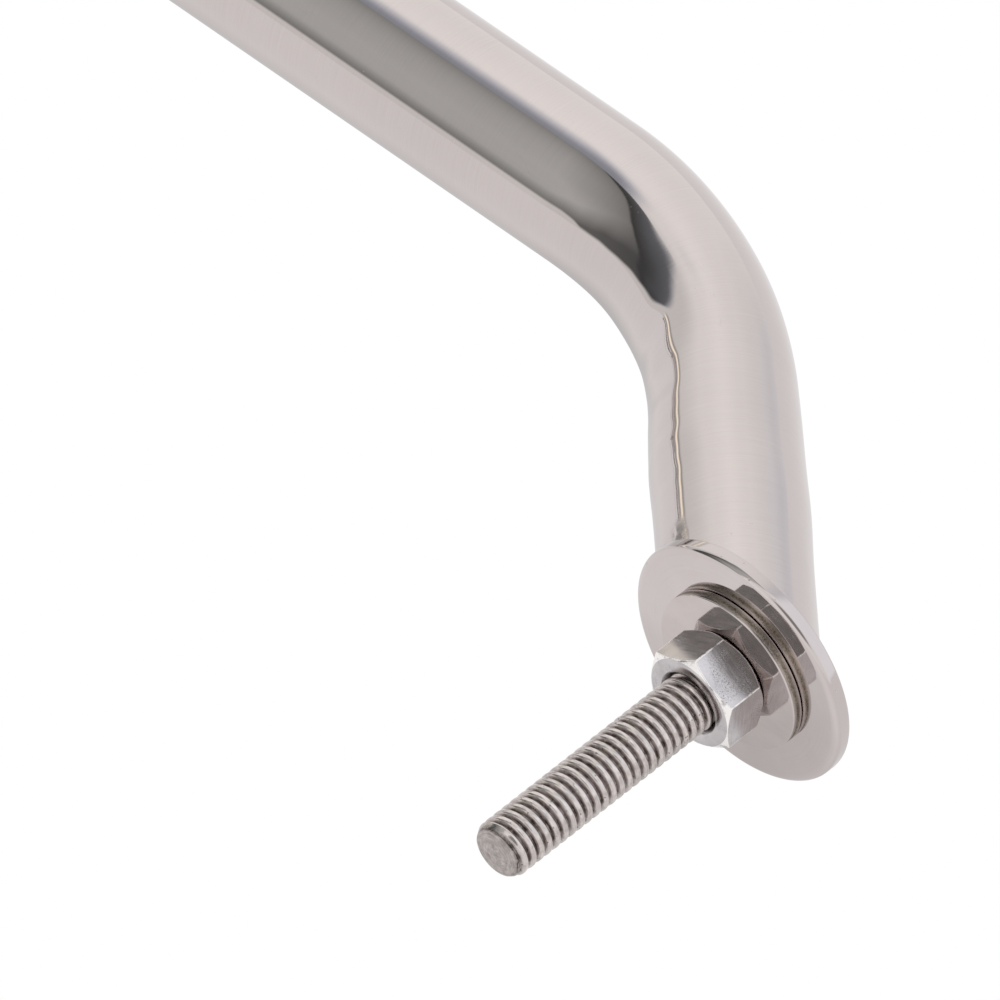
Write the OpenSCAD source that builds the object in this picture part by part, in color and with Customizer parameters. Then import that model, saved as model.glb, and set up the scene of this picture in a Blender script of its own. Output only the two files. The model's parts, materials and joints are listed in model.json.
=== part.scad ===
// Grab rail: a tube with two bends, a round flange welded to each foot, and a threaded stud
// under each flange that a washer and a hexagon nut clamp from behind the panel.
//
// X runs along the grip and +Z is up. The grip stands off towards -Y and the studs point along +Y.
// The origin lies midway between the two studs, on the plane of the flanges' mounting faces.

/* [Rail] */
// Distance between the two stud centres
span = 305; // [260:1:600]
// Outside diameter of the tube
tube_d = 20; // [18:0.5:20.5]
// Wall thickness of the tube
tube_wall = 1.2; // [1:0.1:2]
// Height of the grip's centreline above the mounting faces
rail_height = 45.3; // [44:0.1:70]
// How much flatter than 45 degrees each leg leans, in degrees
leg_ease = 1.55; // [0:0.05:3]
// Radius of the two bends at the tube's centreline
bend_r = 51; // [40:1:60]

/* [Flange] */
// Outside diameter of the flange
flange_d = 33.9; // [33:0.1:45]
// Thickness of the flange
flange_t = 2.2; // [2:0.1:3]
// Rounding of the rim on the mounting side
rim_round = 1.4; // [1:0.1:1.5]
// Rounding of the rim on the tube side
rim_ease = 0.3; // [0.2:0.1:0.4]
// Diameter of the sealant recess in the mounting face
recess_d = 22.8; // [22.6:0.1:24]
// Depth of the sealant recess
recess_t = 0.2; // [0.1:0.05:0.4]
// Width of the weld bead on the flange
weld_leg = 0.8; // [0.6:0.1:2]
// Height of the weld bead along the tube
weld_rise = 2.4; // [1:0.1:3]

/* [Stud] */
// Major diameter of the thread, 5/16 in
stud_d = 7.94; // [7.5:0.01:8]
// Diameter of the stud inside the flange, washer and nut
neck_d = 7.5; // [7:0.1:7.6]
// Length of the stud below the mounting face
stud_len = 42.3; // [30:0.1:80]
// Radius lost at the chamfered tip
tip_chamfer = 0.7; // [0.4:0.1:1]
// Length of the chamfered tip
tip_len = 1.1; // [0.5:0.1:1.5]
// Diameter of the welded head inside the tube
head_d = 12; // [11:0.5:12]
// Thickness of the welded head
head_t = 2.4; // [2:0.1:3]
// Width and height of the ring that welds the head down
head_weld = 1.2; // [0.8:0.1:1.5]

/* [Washer] */
// Outside diameter of the washer, 7/8 in
washer_d = 22.2; // [20:0.1:24]
// Bore of the washer
washer_bore_d = 9; // [8.8:0.1:9.5]
// Thickness of the washer
washer_t = 1.5; // [1.2:0.1:2]
// Chamfer on the washer's two outer edges
washer_edge = 0.15; // [0.1:0.05:0.3]

/* [Nut] */
// Width across the flats, 1/2 in
nut_af = 12.7; // [12.4:0.1:13]
// Thickness of the nut, 17/64 in
nut_t = 6.75; // [6:0.05:7]
// Height of the corner chamfer on the outer face
nut_outer_cut = 0.95; // [0.6:0.05:1.3]
// Height of the corner chamfer on the bearing face
nut_inner_cut = 1.3; // [0.6:0.05:1.5]
// Diameter of the countersinks at the two faces
nut_sink_d = 9; // [8.6:0.1:9.4]
// Turn of the nut's corners from the grip's direction, in degrees
nut_turn = 34; // [0:1:60]

/* [Hidden] */

// Gap at rest between flange and washer, and between washer and nut
seat_gap = 0.1;
// Radial clearance of the stud in the flange
flange_clear = 0.2;
// Radial clearance of the nut's bore on the stud
thread_clear = 0.05;
// Length of the neck below the mounting face, just past the nut at rest
neck_len = 3 * seat_gap + washer_t + nut_t;
// How far a cutter reaches past what it cuts
past = 1;
// Slope of each leg against the mounting face, in degrees
leg_angle = 45 - leg_ease;
// Height at which the leg's centreline crosses the stud's axis
cross_z = flange_t / 2;
// Height of the straight leg's upper end
leg_top_z = rail_height - bend_r * (1 - cos(leg_angle));
// Length of the straight leg from the crossing point
leg_len = (leg_top_z - cross_z) / sin(leg_angle);
// Distance from the stud's axis to the grip's straight part, along X
grip_start = leg_len * cos(leg_angle) + bend_r * sin(leg_angle);
// Half length of the tube's slanted foot on the flange, along X
foot_rx = tube_d / 2 / sin(leg_angle);
// Centre of the slanted foot on the flange, along X
foot_x = (flange_t - cross_z) / tan(leg_angle);
// Steps around the weld bead
weld_steps = 48;
// Diameter of the circle that bounds the nut's two faces
nut_face_d = 0.95 * nut_af;
// Radius of the nut's corners
nut_corner_r = nut_af / 2 / cos(30);
// Smoothness of the round surfaces
$fn = 96;

// Each foot is drawn standing on z = 0 with the grip towards +x and the stud down, then laid on the
// panel: z becomes -Y and y becomes +Z. The right foot is the mirror image of the left one.
module left_foot() {
    translate([-span / 2, 0, 0])
        rotate([90, 0, 0])
            children();
}

module right_foot() {
    mirror([1, 0, 0])
        left_foot()
            children();
}

// A straight bar along +x whose surface starts at the outer side of the bend beside it
module straight(d, length) {
    rotate([0, 90, 0])
        rotate([0, 0, 90])
            cylinder(d = d, h = length);
}

// Half of a bar of diameter d, from below the foot to just past the middle of the grip. Leg, bend and
// grip are drawn around the bend's centre, so that their round ends meet exactly.
module half_bar(d) {
    translate([grip_start, 0, rail_height - bend_r])
        rotate([90, 0, 0]) {
            rotate([0, 0, 90])
                rotate_extrude(angle = leg_angle)
                    translate([bend_r, 0])
                        circle(d = d);
            translate([0, bend_r, 0])
                straight(d, span / 2 - grip_start + past);
            rotate([0, 0, 45])
                rotate([0, 0, -leg_ease])
                    translate([0, bend_r, 0])
                        mirror([1, 0, 0])
                            straight(d, leg_len + 2 * foot_rx);
        }
}

// The whole bar of diameter d, from foot to foot
module bar(d) {
    left_foot() half_bar(d);
    right_foot() half_bar(d);
}

// Everything on the panel's side of the flanges' tube faces
module below_flanges() {
    depth = 3 * tube_d;
    translate([-span, -flange_t, -tube_d])
        cube([2 * span, depth, 2 * tube_d]);
}

module rail_tube() {
    color([0.82, 0.8, 0.79])
        difference() {
            bar(tube_d);
            bar(tube_d - 2 * tube_wall);
            below_flanges();
        }
}

// Flange outline: flat mounting face, a large rounding under the rim and a small one above it
module flange_outline() {
    r = flange_d / 2;
    square([r - rim_round, flange_t]);
    translate([r - rim_round, rim_round])
        circle(r = rim_round);
    translate([0, rim_round])
        square([r, flange_t - rim_round - rim_ease]);
    translate([0, rim_round])
        square([r - rim_ease, flange_t - rim_round]);
    translate([r - rim_ease, flange_t - rim_ease])
        circle(r = rim_ease);
}

module flange() {
    color([0.78, 0.75, 0.74])
        difference() {
            rotate_extrude()
                intersection() {
                    flange_outline();
                    square([flange_d, flange_t]);
                }
            translate([0, 0, -past])
                cylinder(d = recess_d, h = past + recess_t);
            translate([0, 0, -past])
                cylinder(d = stud_d + 2 * flange_clear, h = flange_t + 2 * past);
        }
}

// A point of the tube's slanted foot outline at angle a, moved out by grow
function foot_point(a, grow, z) = [
    foot_x + (z - flange_t) / tan(leg_angle) + (foot_rx + grow) * cos(a),
    (tube_d / 2 + grow) * sin(a),
    z
];

// The bead's three-cornered section at angle a: on the tube at the flange, out on the flange, up the tube
function bead_section(a) = [
    foot_point(a, 0, flange_t),
    foot_point(a, weld_leg, flange_t),
    foot_point(a, 0, flange_t + weld_rise * sin(leg_angle))
];

module weld_bead() {
    step = 360 / weld_steps;
    points = [for (i = [0 : weld_steps - 1]) each bead_section(i * step)];
    faces = [
        for (i = [0 : weld_steps - 1])
            for (k = [0 : 2])
                let (
                    a = 3 * i + k,
                    b = 3 * i + (k + 1) % 3,
                    c = 3 * ((i + 1) % weld_steps) + (k + 1) % 3,
                    d = 3 * ((i + 1) % weld_steps) + k
                )
                    each [[a, b, c], [a, c, d]]
    ];
    color([0.76, 0.73, 0.72])
        polyhedron(points = points, faces = faces);
}

// Stud outline: chamfered tip, free end at the thread's full diameter, slimmer neck, wide head
module stud_outline() {
    r = stud_d / 2;
    neck_r = neck_d / 2;
    polygon([
        [0, -stud_len],
        [r - tip_chamfer, -stud_len],
        [r, -stud_len + tip_len],
        [r, -neck_len],
        [neck_r, -neck_len],
        [neck_r, flange_t],
        [head_d / 2, flange_t],
        [head_d / 2, flange_t + head_t],
        [0, flange_t + head_t]
    ]);
}

module stud() {
    color([0.66, 0.62, 0.59])
        rotate_extrude()
            stud_outline();
}

module stud_weld() {
    r = head_d / 2;
    color([0.55, 0.52, 0.5])
        rotate_extrude()
            polygon([
                [r, flange_t],
                [r + head_weld, flange_t],
                [r, flange_t + head_weld]
            ]);
}

module washer() {
    r = washer_d / 2;
    bore_r = washer_bore_d / 2;
    color([0.75, 0.71, 0.69])
        translate([0, 0, -seat_gap - washer_t])
            rotate_extrude()
                polygon([
                    [bore_r, 0],
                    [r - washer_edge, 0],
                    [r, washer_edge],
                    [r, washer_t - washer_edge],
                    [r - washer_edge, washer_t],
                    [bore_r, washer_t]
                ]);
}

// The turned outline that chamfers the hexagon's corners and hollows out the bore
module nut_turned_outline() {
    face_r = nut_face_d / 2;
    bore_r = stud_d / 2 + thread_clear;
    sink_r = nut_sink_d / 2;
    polygon([
        [bore_r, sink_r - bore_r],
        [sink_r, 0],
        [face_r, 0],
        [nut_corner_r, nut_outer_cut],
        [nut_corner_r + past, nut_outer_cut],
        [nut_corner_r + past, nut_t - nut_inner_cut],
        [nut_corner_r, nut_t - nut_inner_cut],
        [face_r, nut_t],
        [sink_r, nut_t],
        [bore_r, nut_t - sink_r + bore_r]
    ]);
}

module nut() {
    color([0.85, 0.84, 0.84])
        translate([0, 0, -2 * seat_gap - washer_t - nut_t])
            rotate([0, 0, nut_turn])
                intersection() {
                    cylinder(r = nut_corner_r, h = nut_t, $fn = 6);
                    rotate_extrude()
                        nut_turned_outline();
                }
}

rail_tube();
left_foot() flange();  // flange_left
right_foot() flange();  // flange_right
left_foot() weld_bead();  // weld_bead_left
right_foot() weld_bead();  // weld_bead_right
left_foot() stud();  // stud_left
right_foot() stud();  // stud_right
left_foot() stud_weld();  // stud_weld_left
right_foot() stud_weld();  // stud_weld_right
left_foot() washer();  // washer_left
right_foot() washer();  // washer_right
left_foot() nut();  // nut_left
right_foot() nut();  // nut_right
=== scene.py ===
"""Grab rail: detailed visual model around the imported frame."""
import json
import math

import bpy
import numpy as np
from mathutils import Matrix, Vector

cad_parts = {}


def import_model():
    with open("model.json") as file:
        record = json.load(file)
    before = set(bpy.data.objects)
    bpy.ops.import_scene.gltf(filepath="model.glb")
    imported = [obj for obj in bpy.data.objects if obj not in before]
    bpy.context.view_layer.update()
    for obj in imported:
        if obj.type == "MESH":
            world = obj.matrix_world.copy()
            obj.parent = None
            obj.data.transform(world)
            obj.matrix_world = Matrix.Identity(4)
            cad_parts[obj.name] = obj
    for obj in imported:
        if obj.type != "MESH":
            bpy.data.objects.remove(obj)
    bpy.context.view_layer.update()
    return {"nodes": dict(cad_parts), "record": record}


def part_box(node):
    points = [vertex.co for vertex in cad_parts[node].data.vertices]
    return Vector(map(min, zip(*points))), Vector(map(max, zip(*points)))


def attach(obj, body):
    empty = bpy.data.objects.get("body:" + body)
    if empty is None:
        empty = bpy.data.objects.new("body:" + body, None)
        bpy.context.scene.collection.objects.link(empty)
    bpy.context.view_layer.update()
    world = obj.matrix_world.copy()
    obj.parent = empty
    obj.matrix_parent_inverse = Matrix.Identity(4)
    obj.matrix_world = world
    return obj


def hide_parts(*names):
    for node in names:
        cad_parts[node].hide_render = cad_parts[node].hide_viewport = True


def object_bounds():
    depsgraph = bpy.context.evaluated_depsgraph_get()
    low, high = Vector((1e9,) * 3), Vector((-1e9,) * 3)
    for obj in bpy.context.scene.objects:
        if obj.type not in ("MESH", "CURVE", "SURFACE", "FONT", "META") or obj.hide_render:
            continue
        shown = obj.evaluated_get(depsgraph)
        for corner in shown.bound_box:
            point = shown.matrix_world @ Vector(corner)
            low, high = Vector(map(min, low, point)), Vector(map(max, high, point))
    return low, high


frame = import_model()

MM = 0.001
RNG = np.random.default_rng(7)

# ---------------------------------------------------------------- sizes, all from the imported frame

MOUNTS = {m["name"]: m for m in frame["record"]["mounts"]}
HALF_SPAN = abs(MOUNTS["stud_left"]["pos_m"][0])
TUBE_R = MOUNTS["grip_bar"]["dims"]["r_mm"] * MM
GRIP_Z = -MOUNTS["grip_bar"]["pos_m"][1]
GRIP_HALF = MOUNTS["grip_bar"]["dims"]["length_mm"] * MM / 2
STUD_R = MOUNTS["stud_left"]["dims"]["r_mm"] * MM


def node_span(node, axis):
    """Low and high end of a CAD node along a row axis."""
    low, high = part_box(node)
    return low[axis], high[axis]


FLANGE_R = node_span("flange_left", 2)[1]
FLANGE_T = -node_span("flange_left", 1)[0]
STUD_TIP = node_span("stud_left", 1)[1]
WASHER_R = (node_span("washer_left", 0)[1] - node_span("washer_left", 0)[0]) / 2
WASHER_Y = node_span("washer_left", 1)
NUT_Y = node_span("nut_left", 1)

# sizes that the record doesn't hold, as in part.scad
WALL = 1.2 * MM
LEG = math.radians(43.45)
BEND_R = 51 * MM
FLANGE_BORE = 4.17 * MM
WELD_WIDTH, WELD_RISE = 0.8 * MM, 2.4 * MM
HEAD_R, HEAD_T = 6 * MM, 2.4 * MM
TIP_LENGTH, TIP_CUT = 1.1 * MM, 0.7 * MM
WASHER_BORE = 4.5 * MM
PITCH = 25.4 / 18 * MM
NUT_AF = 12.7 * MM
NUT_TURN = math.radians(34)
NUT_BORE, NUT_SINK_R = 4.02 * MM, 4.5 * MM
NUT_FACE_R = 0.95 * NUT_AF / 2
NUT_CONE_WIDTH = NUT_AF / 2 / math.cos(math.pi / 6) - NUT_FACE_R

# sizes of the detail that only the visual model has
LEG_FLAT, BEND_FLAT = 0.045, 0.061
THREAD_CREST, THREAD_DEPTH = 3.93 * MM, 0.62 * MM
NUT_OUTER_CUT, NUT_INNER_CUT = 0.7 * MM, 1.1 * MM
NUT_CORNER = 0.16 * MM

# ---------------------------------------------------------------- foot frame
# Each foot is built standing on z = 0, grip towards +x, stud towards -z, and turned into place.

FOOT = {
    "left": Matrix(((1, 0, 0, -HALF_SPAN), (0, 0, -1, 0), (0, 1, 0, 0), (0, 0, 0, 1))),
    "right": Matrix(((-1, 0, 0, HALF_SPAN), (0, 0, -1, 0), (0, -1, 0, 0), (0, 0, 0, 1))),
}


def new_object(name, points, faces, side=None, smooth_angle=30, grain=None):
    """A mesh object from points (in metres) and faces, smooth except where it folds sharply.

    Every point also carries its place on the piece in millimetres ("grain"), for the surface finish.
    """
    mesh = bpy.data.meshes.new(name)
    mesh.from_pydata([tuple(p) for p in points], [], [tuple(f) for f in faces])
    grain = np.asarray(points if grain is None else grain, float) / MM
    mesh.attributes.new("grain", "FLOAT_VECTOR", "POINT").data.foreach_set("vector", grain.ravel())
    if side:
        mesh.transform(FOOT[side])
    mesh.validate()
    obj = bpy.data.objects.new(name, mesh)
    bpy.context.scene.collection.objects.link(obj)
    mesh.polygons.foreach_set("use_smooth", [True] * len(mesh.polygons))
    mesh.set_sharp_from_angle(angle=math.radians(smooth_angle))
    return obj


def loft(rows, close_rows=False):
    """Points and faces of a skin over rows of points, each row a closed ring."""
    rows = np.asarray(rows, float)
    n, m = rows.shape[:2]
    faces = []
    for i in range(n if close_rows else n - 1):
        a, b = i * m, ((i + 1) % n) * m
        for j in range(m):
            k = (j + 1) % m
            faces.append((a + j, a + k, b + k, b + j))
    return rows.reshape(-1, 3), faces


def lathe(profile, steps=160):
    """Rows of a body turned about z from a closed profile of (radius, height)."""
    turn = np.linspace(0, 2 * math.pi, steps, endpoint=False)
    profile = np.asarray(profile, float)
    r, z = profile[:, :1], profile[:, 1:]
    return np.stack([r * np.cos(turn), r * np.sin(turn), np.repeat(z, steps, 1)], -1)


def arc(cx, cz, r, start, end, steps):
    """Points of (radius, height) along an arc, angles in degrees."""
    a = np.radians(np.linspace(start, end, steps))
    return [(cx + r * math.cos(t), cz + r * math.sin(t)) for t in a]


# ---------------------------------------------------------------- rail tube

CROSS_Z = FLANGE_T / 2
LEG_TOP = GRIP_Z - BEND_R * (1 - math.cos(LEG))
LEG_LEN = (LEG_TOP - CROSS_Z) / math.sin(LEG)
BEND_LEN = BEND_R * LEG


def hill(s, middle, width):
    """A smooth rise to 1 at middle and back to nothing, for s along the tube."""
    return np.exp(-((s - middle) / width) ** 2)


def bend_marks(s, turn):
    """How far the bending tool has pushed the skin out (mm); s in mm from the foot, turn 180 = inner side."""
    inner = 0.18 * hill(s, 30, 5) - 0.28 * hill(s, 45, 7) + 0.18 * hill(s, 62, 6)
    outer = 0.20 * hill(s, 23, 6) - 0.22 * hill(s, 48, 8)
    dents = inner * (0.5 - 0.5 * np.cos(turn)) ** 1.5 + outer * (0.5 + 0.5 * np.cos(turn)) ** 1.5
    # a crease runs up the leg, steep towards turn 136 and fading over the inner side
    off = np.degrees(turn) - 136
    crease = 0.5 * hill(s, 42, 4.5) + 0.45 * hill(s, 51.8, 3.4)
    crease += 0.15 * hill(s, 30, 8) + 0.2 * hill(s, 14.5, 1.5)
    crease += 0.04 * hill(s, 34, 12) * (np.sin(s * 0.78) + 0.5 * np.sin(s * 1.7 + 2))
    ripple = 0.014 * hill(s, 71, 9) * (np.sin(s * 0.62) + 0.3 * np.sin(s * 1.5 + 1))
    return dents - (crease + ripple) / (1 + np.exp(-off / 5.5)) * np.exp(-(np.maximum(off, 0) / 42) ** 2)


def tube_rows(radius, around=192):
    """Rings of one half of the tube from the slanted foot to the middle of the grip, and their grain."""
    turn = np.linspace(0, 2 * math.pi, around, endpoint=False)
    start = LEG_LEN * math.cos(LEG) + BEND_R * math.sin(LEG)
    rows, grain = [], []

    def add(x, z, lean, s, fade=1.0):
        # in-plane direction away from the bend's centre; the bend leaves the tube slightly flattened
        out = np.array([-math.sin(lean), 0, math.cos(lean)])
        share = (lean / LEG) ** 2 * (3 - 2 * lean / LEG)
        flat = LEG_FLAT * share + 4 * (BEND_FLAT - LEG_FLAT / 2) * share * (1 - share)
        push = (bend_marks(s / MM, turn) * fade * MM)[:, None]
        a = radius * (1 - flat) + push
        b = radius * (1 + 0.3 * flat) + push
        rows.append(np.stack([x, np.zeros(around), z], -1) + a * np.cos(turn)[:, None] * out
                    + b * np.sin(turn)[:, None] * np.array([0, 1, 0]))
        grain.append(np.stack([radius * np.cos(turn), radius * np.sin(turn), s], -1))

    # the leg's lines run from the slanted foot on the flange up to the start of the bend
    foot = (FLANGE_T - CROSS_Z - radius * (1 - LEG_FLAT) * np.cos(turn) * math.cos(LEG)) / math.sin(LEG)
    for t in np.linspace(0, 1, 130)[:-1]:
        s = foot + t * (LEG_LEN - foot)
        rise = np.clip((s - foot) / (5 * MM), 0, 1)
        add(s * math.cos(LEG), CROSS_Z + s * math.sin(LEG), LEG, s, rise * rise * (3 - 2 * rise))
    for lean in np.linspace(LEG, 0, 170):
        s = np.full(around, LEG_LEN + BEND_R * (LEG - lean))
        spot = start - BEND_R * math.sin(lean), GRIP_Z - BEND_R * (1 - math.cos(lean))
        add(np.full(around, spot[0]), np.full(around, spot[1]), lean, s)
    for x in np.linspace(start, HALF_SPAN, 50)[1:]:
        add(np.full(around, x), np.full(around, GRIP_Z), 0, np.full(around, LEG_LEN + BEND_LEN + x - start))
    return np.array(rows), np.array(grain)


def make_tube():
    (outer, outer_grain), (inner, inner_grain) = tube_rows(TUBE_R), tube_rows(TUBE_R - WALL)

    def world(rows, flip):
        x = rows[..., 0] - HALF_SPAN
        return np.stack([-x if flip else x, -rows[..., 2], rows[..., 1]], -1)

    def whole(rows):
        return np.concatenate([world(rows, False), world(rows, True)[-2::-1]])

    def whole_grain(grain):
        far = grain[-2::-1] * np.array([1, 1, -1]) + np.array([0, 0, 2 * grain[-1, 0, 2]])
        return np.concatenate([grain, far])

    rows = np.concatenate([whole(outer), whole(inner)[::-1]])
    grain = np.concatenate([whole_grain(outer_grain), whole_grain(inner_grain)[::-1]])
    points, faces = loft(rows, close_rows=True)
    return new_object("polished_tube", points, faces, smooth_angle=40, grain=grain.reshape(-1, 3))


tube = make_tube()

# ---------------------------------------------------------------- flange and weld


def make_flange(side, steps=160):
    """A round plate with a small rounding on the tube's side and a wide one on the mounting side."""
    r, t = FLANGE_R, FLANGE_T
    ease, fall = 0.3 * MM, 0.8 * MM
    turn = np.linspace(0, 2 * math.pi, steps, endpoint=False)
    # the wide rounding is worked by hand: 1.4 mm on two sides, 0.7 mm on the other two
    rim = (1.05 + 0.35 * np.cos(2 * (turn - math.radians(195)))) * MM
    top = [(FLANGE_BORE, 0.0), (FLANGE_BORE, t)]
    top += [(x, t) for x in np.linspace(FLANGE_BORE, r - ease, 8)[1:-1]]
    top += arc(r - ease, t - ease, ease, 90, 0, 7)
    rounding = []
    for a in np.linspace(0, math.pi / 2, 24):
        edge = r - rim * (1 - math.cos(a))
        rounding.append(np.stack([edge * np.cos(turn), edge * np.sin(turn),
                                  np.full(steps, fall * (1 - math.sin(a)))], -1))
    flat_r = r - 1.5 * MM
    face = [(x, 0.0) for x in np.linspace(flat_r, FLANGE_BORE, 10)[:-1]]
    rows = np.concatenate([lathe(top, steps), rounding, lathe(face, steps)])
    points, faces = loft(rows, close_rows=True)
    return new_object("flange_plate_" + side, points, [f[::-1] for f in faces], side)


def make_bead(side, steps=160):
    """Concave fillet between the tube's slanted foot and the flange."""
    turn = np.linspace(0, 2 * math.pi, steps, endpoint=False)
    rx, ry = TUBE_R * (1 - LEG_FLAT) / math.sin(LEG), TUBE_R * (1 + 0.3 * LEG_FLAT)
    foot_x = (FLANGE_T - CROSS_Z) / math.tan(LEG)
    rise, tuck = WELD_RISE * math.sin(LEG), 0.3 * MM
    outline = [(WELD_WIDTH * (1 - t) ** 2, rise * t ** 2) for t in np.linspace(0, 1, 12)]
    outline += [(-tuck, rise), (-tuck, 0)]
    rows = [np.stack([foot_x + up / math.tan(LEG) + (rx + grow) * np.cos(turn),
                      (ry + grow) * np.sin(turn),
                      np.full(steps, FLANGE_T + up)], -1) for grow, up in outline]
    points, faces = loft(rows, close_rows=True)
    return new_object("weld_fillet_" + side, points, [f[::-1] for f in faces], side)


# ---------------------------------------------------------------- stud


def make_stud(side, around=96):
    """A threaded rod with a coned tip, and its head on the flange inside the tube."""
    tip, low = -STUD_TIP, -STUD_TIP + TIP_LENGTH
    turn = np.linspace(0, 2 * math.pi, around, endpoint=False)
    rows = []

    def ring(z, r):
        r = np.broadcast_to(r, turn.shape)
        return np.stack([r * np.cos(turn), r * np.sin(turn), np.full(around, z)], -1)

    for z in np.arange(tip, FLANGE_T - 1e-9, PITCH / 20):
        phase = (z / PITCH - turn / (2 * math.pi)) % 1.0
        wave = np.abs(phase - 0.5) * 2
        # rolled thread: a broad, slightly crowned crest, steep flanks and a tight root
        flank = np.clip((wave - 0.36) / 0.56, 0, 1)
        groove = 0.06 * np.minimum(wave / 0.4, 1) ** 2 + 0.94 * flank * flank * (3 - 2 * flank)
        cone = THREAD_CREST - TIP_CUT * np.clip((low - z) / (low - tip), 0, 1)
        rows.append(ring(z, np.minimum(THREAD_CREST - THREAD_DEPTH * groove, cone)))
    # the sawn end's edge is broken by 0.08 mm
    rows.insert(0, rows[0] * np.array([0.93, 0.93, 1]))
    rows[1][:, 2] = tip + 0.08 * MM
    rows = rows[:2] + [row for row in rows[2:] if row[0, 2] > tip + 0.12 * MM]
    for z, r in ((FLANGE_T, THREAD_CREST - THREAD_DEPTH), (FLANGE_T, HEAD_R), (FLANGE_T + HEAD_T, HEAD_R)):
        rows.append(ring(z, r))
    points, faces = loft(rows)
    n = len(rows) * around
    points = np.concatenate([points, [[0, 0, tip], [0, 0, FLANGE_T + HEAD_T]]])
    for j in range(around):
        k = (j + 1) % around
        faces.append((n, k, j))
        faces.append((n + 1, n - around + j, n - around + k))
    return new_object("threaded_stud_" + side, points, faces, side, smooth_angle=50)


# ---------------------------------------------------------------- washer


def make_washer(side, steps=480):
    """A flat washer with softened edges and an uneven, punched rim."""
    low, high = -WASHER_Y[1], -WASHER_Y[0]
    r, bore = WASHER_R, WASHER_BORE
    edge, inner_edge = 0.16 * MM, 0.1 * MM
    profile = [(bore, low + inner_edge), (bore, high - inner_edge), (bore + inner_edge, high)]
    profile += [(x, high) for x in np.linspace(bore, r - edge, 8)[1:-1]]
    rim_start = len(profile) + 5
    profile += arc(r - edge, high - edge, edge, 90, 0, 5)
    profile += [(r, z) for z in np.linspace(high - edge, low + edge, 12)[1:-1]]
    profile += arc(r - edge, low + edge, edge, 0, -90, 7)
    profile += [(x, low) for x in np.linspace(r - edge, bore, 12)[1:-1]]
    profile += [(bore + inner_edge, low)]
    rows = lathe(profile, steps)
    # punching leaves the rim's ten rings a little uneven, most of all half-way up
    turn = np.linspace(0, 2 * math.pi, steps, endpoint=False)
    rough = RNG.normal(size=(12, steps)) + RNG.normal(size=steps)
    rough = (np.roll(rough, 1, 1) + rough + np.roll(rough, -1, 1)) / 3
    for k in range(10):
        share = 0.35 + 0.65 * math.sin(math.pi * (k + 1) / 11)
        dip = (0.012 + 0.012 * np.abs(rough[k]) + 0.012 * np.sin(turn * 3 + 1)) * share * MM
        ring = rows[rim_start + k]
        ring[:, :2] *= (1 - dip / r)[:, None]
    points, faces = loft(rows, close_rows=True)
    return new_object("plain_washer_" + side, points, [f[::-1] for f in faces], side, smooth_angle=40)


# ---------------------------------------------------------------- nut


def hex_turns(soft):
    """Angles round a hexagon with softened corners, close together at the corners; and its radius there."""
    flat = NUT_AF / 2
    tilt = math.degrees(math.atan((flat - soft) * math.tan(math.pi / 6) / flat))
    face = np.concatenate([np.linspace(-tilt + 0.7, tilt - 0.7, 29), [-tilt, tilt],
                           np.linspace(tilt, 60 - tilt, 9)[1:-1]])
    local = np.radians(np.sort(face))
    turn = np.concatenate([local + k * math.pi / 3 for k in range(6)])
    spot = (turn + math.pi / 6) % (math.pi / 3) - math.pi / 6
    reach = (flat - soft) / math.cos(math.pi / 6)
    away = math.pi / 6 - np.abs(spot)
    corner = reach * np.cos(away) + np.sqrt(np.maximum(soft ** 2 - (reach * np.sin(away)) ** 2, 0))
    radius = np.where(np.abs(spot) <= math.radians(tilt), flat / np.cos(spot), corner)
    return turn, radius


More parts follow.
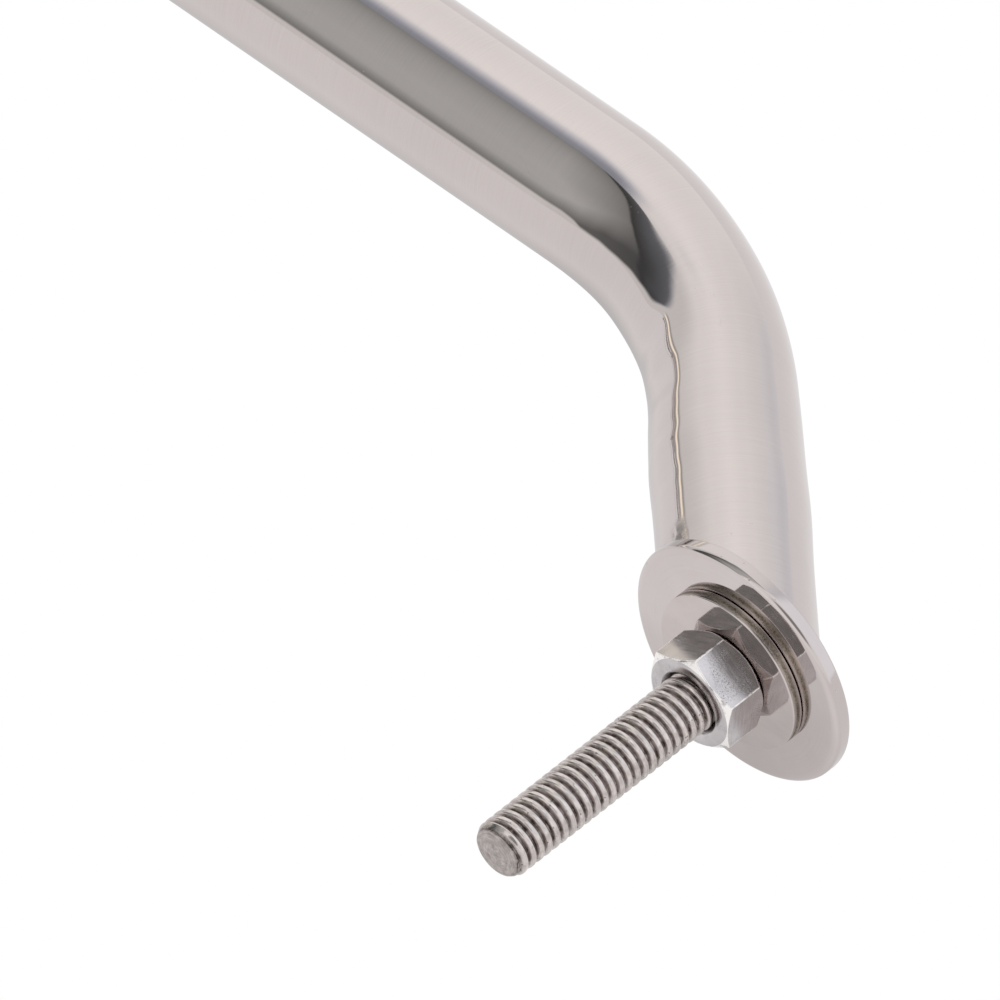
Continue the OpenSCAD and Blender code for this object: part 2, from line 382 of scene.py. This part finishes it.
def make_nut(side):
    """A hexagon nut with turned chamfers, a countersink at both ends and an inner thread."""
    low, high = -NUT_Y[1], -NUT_Y[0]
    face_r, sink_r, bore_r = NUT_FACE_R, NUT_SINK_R, NUT_BORE
    aim = (NUT_TURN if side == "left" else -NUT_TURN) + math.pi / 6
    turn, hexagon = hex_turns(NUT_CORNER)
    turn = turn + aim

    def ring(r, z):
        r, z = np.broadcast_to(r, turn.shape), np.broadcast_to(z, turn.shape)
        return np.stack([r * np.cos(turn), r * np.sin(turn), z], -1)

    def cone(cut, end, sense):
        """Rings from the flat end over the turned chamfer to just inside the side facets."""
        slope = cut / NUT_CONE_WIDTH
        start = end + sense * 0.012 * MM
        rings = [ring(face_r - 0.25 * MM, end), ring(face_r - 0.08 * MM, end), ring(face_r, start)]
        for t in (0.12, 0.5, 0.88):
            r = face_r + (hexagon - face_r) * t
            rings.append(ring(r, start + sense * slope * (r - face_r)))
        # over a small rounding (inset, height in mm) into the side facets
        edge = end + sense * slope * (hexagon - face_r)
        for inset, up in ((0.05, -0.01), (0.012, 0.04), (0, 0.12), (0, 0.26)):
            rings.append(ring(hexagon - inset * MM, edge + sense * up * MM))
        return rings

    # the inner thread is cut outwards from the bore, so it stays clear of the stud
    bore = []
    for z in np.arange(low + sink_r - bore_r, high - sink_r + bore_r, PITCH / 16):
        phase = (z / PITCH - turn / (2 * math.pi)) % 1.0
        groove = np.clip(1 - np.abs(phase - 0.5) * 2.4, 0, 1)
        bore.append(ring(bore_r + 0.45 * MM * groove, z))
    outer = cone(NUT_OUTER_CUT, low, 1)
    inner = cone(NUT_INNER_CUT, high, -1)
    lip_r, lip_t = sink_r + 0.05 * MM, 0.03 * MM
    rows = [ring(sink_r, low + lip_t), ring(lip_r, low)] + outer + inner[::-1]
    rows += [ring(lip_r, high), ring(sink_r, high - lip_t)] + bore[::-1]
    points, faces = loft(rows, close_rows=True)
    # the finish follows the nut, with a side facet's middle at +x
    grain = points @ np.array(Matrix.Rotation(aim, 3, "Z"))
    return new_object("hex_nut_" + side, points, [f[::-1] for f in faces], side, smooth_angle=50, grain=grain)


made = {"tube": tube}
for side in ("left", "right"):
    made["flange_" + side] = make_flange(side)
    made["bead_" + side] = make_bead(side)
    made["stud_" + side] = make_stud(side)
    made["washer_" + side] = make_washer(side)
    made["nut_" + side] = make_nut(side)

# ---------------------------------------------------------------- shader arithmetic


class Wire:
    """A shader value; arithmetic on it adds Math nodes to its tree."""

    def __init__(self, tree, socket):
        self.tree, self.socket = tree, socket

    def node(self, name, *values, **settings):
        """A new node in the same tree: values for its inputs in their order, None to leave one as it is."""
        new = self.tree.nodes.new(name)
        for key, value in settings.items():
            setattr(new, key, value)
        for slot, value in zip(new.inputs, values):
            if isinstance(value, Wire):
                self.tree.links.new(value.socket, slot)
            elif value is not None:
                slot.default_value = value
        return Wire(self.tree, new.outputs[0])

    def math(self, kind, *others):
        return self.node("ShaderNodeMath", self, *others, operation=kind)

    def __add__(self, other):
        return self.math("ADD", other)

    def __sub__(self, other):
        return self.math("SUBTRACT", other)

    def __mul__(self, other):
        return self.math("MULTIPLY", other)

    def __pow__(self, other):
        return self.math("POWER", other)

    def flip(self):
        """1 where this is 0, and 0 where it is 1."""
        return self * -1 + 1

    def step(self, low, high, out_low=0.0, out_high=1.0):
        """Smooth step from out_low at low to out_high at high."""
        return self.node("ShaderNodeMapRange", self, low, high, out_low, out_high,
                         interpolation_type="SMOOTHSTEP")

    def ramp(self, low, high, out_low=0.0, out_high=1.0):
        """Straight, clamped change from out_low at low to out_high at high."""
        return self.node("ShaderNodeMapRange", self, low, high, out_low, out_high)

    def peak(self, middle, half):
        """1 at middle, falling smoothly to 0 at half to each side."""
        return (self - middle).math("ABSOLUTE").step(0, half, 1.0, 0.0)

    def mixed(self, low, high):
        """Colour going from low to high as this value goes from 0 to 1."""
        return self.node("ShaderNodeMixRGB", self, low, high)

    def parts(self):
        split = self.tree.nodes.new("ShaderNodeSeparateXYZ")
        self.tree.links.new(self.socket, split.inputs[0])
        return [Wire(self.tree, out) for out in split.outputs]

    def pattern(self, name, scale, shift, turn=(0, 0, 0), **inputs):
        """A texture over this place, with scale in cycles per unit along each axis."""
        spot = self.node("ShaderNodeMapping", self, shift, turn, scale)
        texture = spot.node(name, spot)
        for key, value in inputs.items():
            texture.socket.node.inputs[key].default_value = value
        return texture

    def noise(self, scale, detail=2.0, seed=0.0):
        """Cloudy noise, 0 to 1 and mostly near 0.5."""
        shift = (seed, seed * 1.7, seed * 2.3)
        return self.pattern("ShaderNodeTexNoise", scale, shift, Scale=1, Detail=detail)

    def specks(self, scale, size, seed=0.0):
        """Small round spots, one in each cell; 1 inside, 0 outside."""
        shift = (seed, seed * 1.3, seed * 2.1)
        return self.pattern("ShaderNodeTexVoronoi", scale, shift, Scale=1).step(size * 0.6, size, 1.0, 0.0)

    def hairs(self, scale, width, seed=0.0, turn=(0, 0, 0)):
        """Thin lines where a stretched noise crosses its middle; 1 on the line."""
        shift = (seed, seed * 1.9, seed * 0.7)
        veins = self.pattern("ShaderNodeTexNoise", scale, shift, turn, Scale=1, Detail=0.5)
        return veins.peak(0.5, width)


# ---------------------------------------------------------------- materials
# Every finish is worked out from the grain: the place on the piece in millimetres, x and y across, z along.


def metal(name):
    """An empty steel material: its shader, and the grain as a wire."""
    mat = bpy.data.materials.new(name)
    mat.use_nodes = True
    tree = mat.node_tree
    shader = tree.nodes["Principled BSDF"]
    shader.inputs["Metallic"].default_value = 1
    grain = tree.nodes.new("ShaderNodeAttribute")
    grain.attribute_name = "grain"
    return mat, shader, Wire(tree, grain.outputs["Vector"])


def finish(shader, tone, roughness, height, reach):
    """Connect colour, roughness and a relief whose height 1 stands for reach metres."""
    tree = shader.id_data
    tree.links.new(tone.socket, shader.inputs["Base Color"])
    tree.links.new(roughness.math("MINIMUM", 0.9).socket, shader.inputs["Roughness"])
    bump = tree.nodes.new("ShaderNodeBump")
    bump.inputs["Strength"].default_value = 1
    bump.inputs["Distance"].default_value = reach
    tree.links.new(height.socket, bump.inputs["Height"])
    tree.links.new(bump.outputs["Normal"], shader.inputs["Normal"])


def make_tube_polish():
    mat, shader, grain = metal("tube_polish")
    x, y, z = grain.parts()
    near = z.step(14, 24, 1.0, 0.0)
    cloud = grain.noise((0.06, 0.06, 0.04), 3)
    lines = grain.noise((0.12, 0.12, 9), 2, 3)
    fine = grain.noise((0.3, 0.3, 30), 1, 7)
    hair = grain.hairs((0.9, 0.9, 0.15), 0.006, 5) * grain.noise((0.3, 0.3, 0.3), 1, 9).step(0.56, 0.66)
    pits = grain.specks((1.1, 1.1, 1.1), 0.12, 4) * (near * 0.7 + 0.3)
    pits = pits * grain.noise((0.2, 0.2, 0.2), 1, 2).step(0.55, 0.62)
    # grime and painted shade in the crease, where the left leg meets the weld: a darker patch painted into
    # the colour
    grime_and_painted_shade = (x + 7.2).math("ABSOLUTE").step(0.1, 1.3, 1, 0) * (z - 14.8).math("ABSOLUTE").step(0.3, 3, 1, 0)
    grime_and_painted_shade = grime_and_painted_shade * y.step(0, 1) * grain.noise((0.8, 0.8, 0.5), 3, 6).step(0.3, 0.5)
    # pits and hairlines dull the colour; the crease patch adds painted shade
    dullness_and_painted_shade = pits * 0.5 + hair * 0.18 + near * 0.04 + grime_and_painted_shade * 1.8
    tone = (cloud * 0.45 + lines * 0.4 + fine * 0.15 - dullness_and_painted_shade).ramp(-1.2, 0.9).mixed(
        (0.36, 0.33, 0.32, 1), (0.69, 0.63, 0.615, 1))
    rough = lines.ramp(0.3, 0.7, 0.02, 0.045) + fine.ramp(0.4, 0.7, 0, 0.015) + dullness_and_painted_shade * 0.3 + near * 0.03
    height = lines * 0.07 + fine * 0.015 + cloud * 1.5 - pits * 0.8
    finish(shader, tone, rough, height, 0.006 * MM)
    return mat


def make_flange_polish():
    mat, shader, grain = metal("flange_polish")
    x, y, z = grain.parts()
    r = (x * x + y * y).math("SQRT")
    rim = r.step(15, 16.8)
    cloud = grain.noise((0.12, 0.12, 0.12), 3)
    swirl = r.node("ShaderNodeCombineXYZ", r * 6, y.math("ARCTAN2", x) * 1.5, z)
    lines = swirl.noise((1, 1, 1), 2, 2)
    pits = grain.specks((0.9, 0.9, 0.9), 0.16, 6) * rim
    pits = pits * grain.noise((0.22, 0.22, 0.22), 1, 8).step(0.52, 0.6)
    hair = grain.hairs((0.5, 0.12, 0.3), 0.006, 2, (0, 0, 0.6))
    hair = hair * grain.noise((0.2, 0.2, 0.2), 1, 4).step(0.5, 0.6)
    tone = (cloud * 0.7 + lines * 0.3 - pits * 1.2 - hair * 0.2).ramp(0.1, 0.9).mixed(
        (0.58, 0.525, 0.51, 1), (0.69, 0.635, 0.62, 1))
    # the turned edge is a little duller than the faces
    wall = r.step(FLANGE_R / MM - 0.4, FLANGE_R / MM - 0.1)
    tone = (wall * 0.4).mixed(tone, (0.50, 0.455, 0.445, 1))
    rough = lines.ramp(0.3, 0.7, 0.035, 0.06) + pits * 0.3 + hair * 0.04 + wall * 0.05
    height = lines * 0.025 + cloud * 1.5 - pits * 3
    finish(shader, tone, rough, height, 0.006 * MM)
    return mat


def make_weld_polish():
    mat, shader, grain = metal("weld_polish")
    x, y, _ = grain.parts()
    turn = y.math("ARCTAN2", x)
    beads = (turn * 17 + grain.noise((0.4, 0.4, 0.4), 1, 3) * 5).math("SINE")
    cloud = grain.noise((0.5, 0.5, 0.5), 3, 1)
    pits = grain.specks((1.6, 1.6, 1.6), 0.24, 6) * grain.noise((0.35, 0.35, 0.35), 1, 8).step(0.5, 0.56)
    tone = (cloud + beads * 0.06 - pits * 0.8).ramp(0.1, 0.8).mixed(
        (0.40, 0.36, 0.34, 1), (0.70, 0.65, 0.63, 1))
    rough = cloud.ramp(0.3, 0.7, 0.09, 0.2) + pits * 0.3
    finish(shader, tone, rough, beads * 0.25 + cloud * 1.5 - pits * 1.5, 0.02 * MM)
    return mat


def make_thread_metal():
    mat, shader, grain = metal("thread_metal")
    x, y, z = grain.parts()
    r = (x * x + y * y).math("SQRT")
    crest = r.step(3.2, 3.9)
    end = z.step(-STUD_TIP / MM + 0.05, -STUD_TIP / MM + 0.3, 1.0, 0.0)
    around = r.node("ShaderNodeCombineXYZ", y.math("ARCTAN2", x) * 2.2, r * 5, z * 5)
    drawn = around.noise((1, 1, 1), 3, 1)
    spots = grain.noise((1.3, 1.3, 1.3), 4, 4)
    nicks = grain.specks((1.5, 1.5, 1.5), 0.2, 3) * spots.step(0.5, 0.6) * end.flip()
    # painted shade: the grooves, away from crests and end, darker in patches, partly grime
    grime_and_painted_shade = grain.noise((0.8, 0.8, 1.6), 3, 9).step(0.5, 0.68) * (crest + end).flip()
    # the crests lighter in colour: partly wear, partly painted highlight; the sawn end is lighter too
    wear_and_painted_light = (crest * 0.45 + drawn * 0.5 + spots * 0.45 + end * 0.25 - nicks * 0.5 - grime_and_painted_shade * 0.35)
    tone = wear_and_painted_light.ramp(0.38, 1.06).mixed((0.10, 0.080, 0.072, 1), (0.72, 0.66, 0.635, 1))
    rough = wear_and_painted_light.ramp(0.2, 1.0, 0.34, 0.10) + end * 0.14
    finish(shader, tone, rough, drawn * 0.5 + spots * 0.5 - nicks * 0.7, 0.05 * MM)
    return mat


def make_washer_metal():
    mat, shader, grain = metal("washer_metal")
    x, y, z = grain.parts()
    r = (x * x + y * y).math("SQRT")
    rim = r.step(WASHER_R / MM - 0.13, WASHER_R / MM - 0.05) * z.peak(-WASHER_Y[0] / MM - 0.72, 0.75)
    cloud = grain.noise((0.25, 0.25, 0.25), 3, 2)
    torn = grain.noise((4.5, 4.5, 6), 2, 5) * 0.5 + grain.noise((0.4, 0.4, 1.1), 3, 4) * 0.5
    stamped = grain.noise((0.15, 1.6, 1), 2, 6)
    hair = grain.hairs((0.3, 0.9, 0.3), 0.008, 3, (0, 0, 1.1)) * cloud.step(0.45, 0.55)
    smooth = (cloud * 0.75 + stamped * 0.25 - hair * 0.12).ramp(0.1, 0.9).mixed(
        (0.54, 0.485, 0.465, 1), (0.66, 0.60, 0.58, 1))
    raw = torn.ramp(0.36, 0.72).mixed((0.075, 0.062, 0.048, 1), (0.50, 0.44, 0.36, 1))
    tone = rim.mixed(smooth, raw)
    rough = rim * torn.ramp(0.3, 0.7, 0.5, 0.24) + stamped.ramp(0.3, 0.7, 0.07, 0.12) + hair * 0.05
    height = (cloud * 0.10 + stamped * 0.003) + rim * torn * 2
    finish(shader, tone, rough, height, 0.05 * MM)
    return mat


def make_nut_metal():
    mat, shader, grain = metal("nut_metal")
    x, y, z = grain.parts()
    r = (x * x + y * y).math("SQRT")
    bore = r.step(4.3, 4.6, 1.0, 0.0)
    drawn = grain.noise((0.35, 0.35, 3), 3, 2)
    cloud = grain.noise((0.3, 0.3, 0.3), 3, 5)
    bite = grain.noise((8, 8, 8), 2, 8)
    spots = bite.step(0.54, 0.64) * grain.noise((0.28, 0.28, 0.28), 2, 1).step(0.46, 0.6)
    hair = grain.hairs((0.5, 0.5, 0.5), 0.008, 6, (0.5, 0.3, 0.2)) * cloud.step(0.45, 0.55)
    # painted highlight: the colour goes near white along the corners and where the end cones cut the side
    # facets, in patches
    spot = (y.math("ARCTAN2", x) * (180 / math.pi) + 360).math("MODULO", 60) - 30
    side = r.step(NUT_AF / 2 / MM - 0.06, NUT_AF / 2 / MM - 0.02)
    above = z + NUT_Y[1] / MM - (r - NUT_FACE_R / MM) * (NUT_OUTER_CUT / NUT_CONE_WIDTH)
    corner = spot.math("ABSOLUTE").step(0.3, 1.5, 1, 0)
    cone_edge = above.math("ABSOLUTE").step(0.03, 0.2, 1, 0)
    painted_edge_highlight = (corner * side + cone_edge * side).math("MINIMUM", 1)
    painted_edge_highlight = painted_edge_highlight * grain.noise((0.9, 0.9, 0.9), 2, 3).step(0.3, 0.5)
    tone = (cloud * 0.65 + drawn * 0.35 - spots * 0.5 - hair * 0.2 - bore * 0.35).ramp(-0.3, 0.6).mixed(
        (0.18, 0.165, 0.165, 1), (0.64, 0.61, 0.615, 1))
    tone = painted_edge_highlight.mixed(tone, (1.0, 0.97, 0.95, 1))
    rough = drawn.ramp(0.3, 0.7, 0.15, 0.22) + spots * 0.14 + bore * 0.15 + painted_edge_highlight * 0.2
    height = drawn * 0.006 + cloud * 0.2 + bite * 0.03 - spots * 0.2
    finish(shader, tone, rough, height, 0.02 * MM)
    return mat


def make_raw_weld():
    """Unpolished weld inside the tube; the CAD meshes have no grain, so it follows their place in metres."""
    mat, shader, _ = metal("raw_weld")
    tree = mat.node_tree
    spot = Wire(tree, tree.nodes.new("ShaderNodeTexCoord").outputs["Object"])
    heat = spot.noise((400, 400, 400), 3, 1)
    scale = spot.noise((2500, 2500, 2500), 4, 2)
    tone = (heat * 0.6 + scale * 0.4).ramp(0.3, 0.7).mixed((0.13, 0.11, 0.12, 1), (0.46, 0.40, 0.33, 1))
    finish(shader, tone, scale.ramp(0.3, 0.7, 0.35, 0.7), heat + scale * 0.5, 0.06 * MM)
    return mat


mats = {
    "tube": make_tube_polish(),
    "flange": make_flange_polish(),
    "bead": make_weld_polish(),
    "stud": make_thread_metal(),
    "washer": make_washer_metal(),
    "nut": make_nut_metal(),
    "raw": make_raw_weld(),
}
for key, obj in made.items():
    kind = key.split("_")[0]
    obj.data.materials.append(mats[kind])
for side in ("left", "right"):
    node = frame["nodes"]["stud_weld_" + side]
    node.data.materials.clear()
    node.data.materials.append(mats["raw"])

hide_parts("rail_tube")
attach(tube, "rail")
for side in ("left", "right"):
    for kind, node, body in (("flange", "flange", "rail"), ("bead", "weld_bead", "rail"),
                             ("stud", "stud", "rail"), ("washer", "washer", "washer_" + side),
                             ("nut", "nut", "nut_" + side)):
        obj = made[f"{kind}_{side}"]
        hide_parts(f"{node}_{side}")
        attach(obj, body)

# ---------------------------------------------------------------- stage, light and camera

scene = bpy.context.scene
scene.view_settings.view_transform = "Standard"

# the camera stands far off, behind and above the left foot, and looks at it with a long lens
AZIMUTH, ELEVATION, ROLL = math.radians(223.94), math.radians(47.17), math.radians(-0.55)
DISTANCE = 4.8497
LEFT_OF_FOOT, ABOVE_FOOT = 0.028631, 0.020105
back = Vector((math.sin(AZIMUTH) * math.cos(ELEVATION), -math.cos(AZIMUTH) * math.cos(ELEVATION),
               math.sin(ELEVATION)))
level = (-back).to_track_quat("-Z", "Y")
turned = level @ Matrix.Rotation(ROLL, 3, "Z").to_quaternion()
right, up = turned @ Vector((1, 0, 0)), turned @ Vector((0, 1, 0))
foot = Vector((-HALF_SPAN, 0, 0))
aim = foot - LEFT_OF_FOOT * right + ABOVE_FOOT * up
camera = bpy.data.objects.new("camera", bpy.data.cameras.new("camera"))
scene.collection.objects.link(camera)
camera.rotation_mode = "QUATERNION"
camera.rotation_quaternion = turned
camera.location = aim + back * DISTANCE
camera.data.lens = 1440
camera.data.sensor_width = 36
camera.data.clip_start, camera.data.clip_end = 0.1, 100
scene.camera = camera


def make_world():
    """A white light tent, open on one side towards a dim room; the background itself looks plain white."""
    world = bpy.data.worlds.new("light_tent")
    scene.world = world
    world.use_nodes = True
    tree = world.node_tree
    nodes, links = tree.nodes, tree.links
    nodes.clear()
    place = nodes.new("ShaderNodeTexCoord")
    x, y, z = Wire(tree, place.outputs["Generated"]).parts()
    turn = y.math("ARCTAN2", x) * (180 / math.pi)
    height = z.math("ARCSINE") * (180 / math.pi)
    level = (z * z).flip().math("SQRT")
    # the cloth's edge leans over the opening; the table's far edge is the sill
    edge = (height - 27).math("MAXIMUM", 0) ** 3 * -0.0011 + height.ramp(40, 52, 10, 7)
    edge = edge + height.ramp(14, 38, 6.5, 0)
    inside = turn - edge
    sill = (turn * -1 + 37).math("MAXIMUM", 0) ** 2 * 0.03 + turn.step(51, 57, 2, 7)
    opening = inside.step(-2, 3) * (height - sill).step(-2, 2) * turn.step(61, 66, 1, 0)
    # the room: dark next to the cloth's edge, then a wall that is lighter farther in and higher up
    depth = inside * level
    deep = depth.step(9.6, 11) * depth.ramp(10, 40, 0.19, 0.58) * (height + depth * 0.6).ramp(26, 46, 0.2, 1)
    room = deep + depth.ramp(2, 9.5, 0.17, 0.065) + turn.step(50, 62, 0, -0.12)
    room = room.math("MAXIMUM", 0.06)
    # cloth brightness: dimmer towards the opening, brightest low on the far side
    cloth = turn.ramp(-100, -72, 0.82, 1.03) + turn.peak(-42, 30) * 0.08 - turn.step(-14, 8) * 0.24
    cloth = cloth + turn.step(60, 66) * 0.24 + turn.step(-118, -98, 0.32, 0)
    cloth = cloth - height.peak(8, 12) * turn.peak(-93, 14) * 0.07
    haze = height.step(50.5, 56.5) * turn.step(-44, -12) * turn.step(30, 50, 1, 0) * 0.62
    cloth = cloth * haze.flip()
    # the camera and the person behind it
    facing = x * back.x + y * back.y + z * back.z
    person = facing.step(math.cos(math.radians(27)), math.cos(math.radians(13)))
    cloth = cloth * (person * 0.70).flip()
    # the seam where table and cloth meet, with a sliver of warm light in it
    seam = height.peak(4.4, 6.2) * turn.step(-50, -30) * turn.step(13, 18, 1, 0)
    warm = height.peak(4.4, 3.2) * seam
    cloth = cloth * (seam * 0.93).flip() + warm * 1.4
    glow = opening.flip() * cloth + opening * room
    cool = haze * opening.flip() * 1.3 + opening * inside.step(4, 14, 0.6, 0) + turn.step(-92, -80, 0.3, 0)
    tint = opening.mixed((1.0, 0.995, 0.985, 1), (1.0, 1.025, 1.01, 1))
    tint = cool.math("MINIMUM", 1).mixed(tint, (0.90, 0.98, 1.16, 1))
    tint = warm.mixed(tint, (1.0, 0.9, 0.72, 1))
    path = Wire(tree, nodes.new("ShaderNodeLightPath").outputs["Is Camera Ray"])
    light = nodes.new("ShaderNodeBackground")
    links.new(path.mixed(tint, (1, 1, 1, 1)).socket, light.inputs["Color"])
    links.new((path.flip() * glow + path).socket, light.inputs["Strength"])
    out = nodes.new("ShaderNodeOutputWorld")
    links.new(light.outputs[0], out.inputs["Surface"])


def make_floor():
    """A table under the rail that glows rather than being lit: plain white to look at, with a painted shadow
    that shows darker in the steel close under legs and grip.
    """
    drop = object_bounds()[0].z - 0.2 * MM
    size = 20
    mesh = bpy.data.meshes.new("table_top")
    mesh.from_pydata([(-size, -size, drop), (size, -size, drop), (size, size, drop), (-size, size, drop)],
                     [], [(0, 1, 2, 3)])
    floor = bpy.data.objects.new("table_top", mesh)
    scene.collection.objects.link(floor)
    mat = bpy.data.materials.new("table_white")
    mat.use_nodes = True
    tree = mat.node_tree
    tree.nodes.clear()
    place = Wire(tree, tree.nodes.new("ShaderNodeNewGeometry").outputs["Position"])
    x, y, _ = place.parts()
    x, y = x.math("ABSOLUTE") * (1 / MM), y * (1 / MM)

    def gap(ax, ay, bx, by):
        """Distance on the table from the line between two places, in mm."""
        length = math.hypot(bx - ax, by - ay)
        ux, uy = (bx - ax) / length, (by - ay) / length
        t = ((x - ax) * ux + (y - ay) * uy).math("MAXIMUM", 0).math("MINIMUM", length)
        return ((x - ax - t * ux) ** 2 + (y - ay - t * uy) ** 2).math("SQRT")

    foot_x, grip_y = HALF_SPAN / MM, -GRIP_Z / MM
    knee, stud_end = GRIP_HALF / MM + 12, 38
    # painted shadow: as the steel sees it, the table's glow is darker close under the stud, the legs and the
    # grip
    painted_shadow = gap(foot_x, 0, foot_x, stud_end).step(0, 20, 0.94, 1)
    painted_shadow = painted_shadow * gap(foot_x, 0, knee, grip_y).step(2, 30, 0.78, 1)
    painted_shadow = painted_shadow * gap(knee, grip_y, 0, grip_y).step(0, 20, 0.68, 1) * 0.91
    path = Wire(tree, tree.nodes.new("ShaderNodeLightPath").outputs["Is Camera Ray"])
    glow = tree.nodes.new("ShaderNodeEmission")
    tree.links.new(path.mixed((1.0, 0.99, 0.995, 1), (1, 1, 1, 1)).socket, glow.inputs["Color"])
    tree.links.new((path.flip() * painted_shadow + path).socket, glow.inputs["Strength"])
    out = tree.nodes.new("ShaderNodeOutputMaterial")
    tree.links.new(glow.outputs[0], out.inputs["Surface"])
    mesh.materials.append(mat)


make_world()
make_floor()
